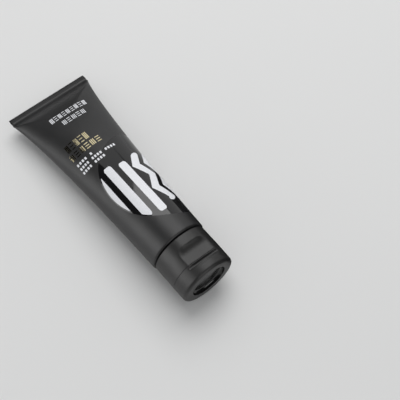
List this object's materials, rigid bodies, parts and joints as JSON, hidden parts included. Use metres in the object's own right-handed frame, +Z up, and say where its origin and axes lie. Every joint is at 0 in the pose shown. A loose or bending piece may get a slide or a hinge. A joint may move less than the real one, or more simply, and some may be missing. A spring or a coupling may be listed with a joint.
{
  "type": "shaving cream tube",
  "caption": "Soft plastic squeeze tube with a crimped fin, threaded neck and screw-on flip-top cap with a thumb scoop, plugged nozzle and film-hinged lid.",
  "frame": {"origin": "middle of the bounding box on the table plane, with the tube lying on its back, printed face up", "axes": "+X from the crimped fin towards the cap, +Z up out of the printed face, +Y across the fin; the tube's axis rises 3 degrees towards the cap, because the tapered sleeve lies on its underside"},
  "size_m": [0.156, 0.0548, 0.0353],
  "materials": {
    "sleeve_plastic": "satin black polyethylene",
    "head_plastic": "satin black polyethylene",
    "cap_plastic": "fine matt black polypropylene",
    "foil": "bright foil",
    "liner_foam": "soft white foam",
    "cream": "smooth white cream"
  },
  "bodies": {
    "tube": {"tube_sleeve": "sleeve_plastic", "tube_head": "head_plastic", "cream_fill": "cream", "foil_seal": "foil"},
    "washer": {"cap_liner": "liner_foam"},
    "cap": {"cap_base": "cap_plastic", "hinge_strap_left": "cap_plastic", "hinge_strap_centre": "cap_plastic", "hinge_strap_right": "cap_plastic"},
    "lid": {"cap_lid": "cap_plastic"}
  },
  "joints": [
    {"name": "cap_travel", "type": "slide", "parent": "tube", "child": "washer", "axis": [0.9987, 0, 0.0519], "range_m": [0, 0.0045]},
    {"name": "cap_turn", "type": "hinge", "parent": "washer", "child": "cap", "pos_m": [0.06079, 0, 0.01794], "axis": [0.9987, 0, 0.0519], "range_deg": [0, 540]},
    {"name": "lid_hinge", "type": "hinge", "parent": "cap", "child": "lid", "pos_m": [0.06896, -0.00252, 0.00148], "axis": [0.0077, 0.989, -0.1476], "range_deg": [0, 130], "deforming": ["hinge_strap_left", "hinge_strap_centre", "hinge_strap_right"]}
  ],
  "couplings": [
    {"joint": "cap_travel", "follows": "cap_turn", "m_per_rad": 0.00047746}
  ]
}
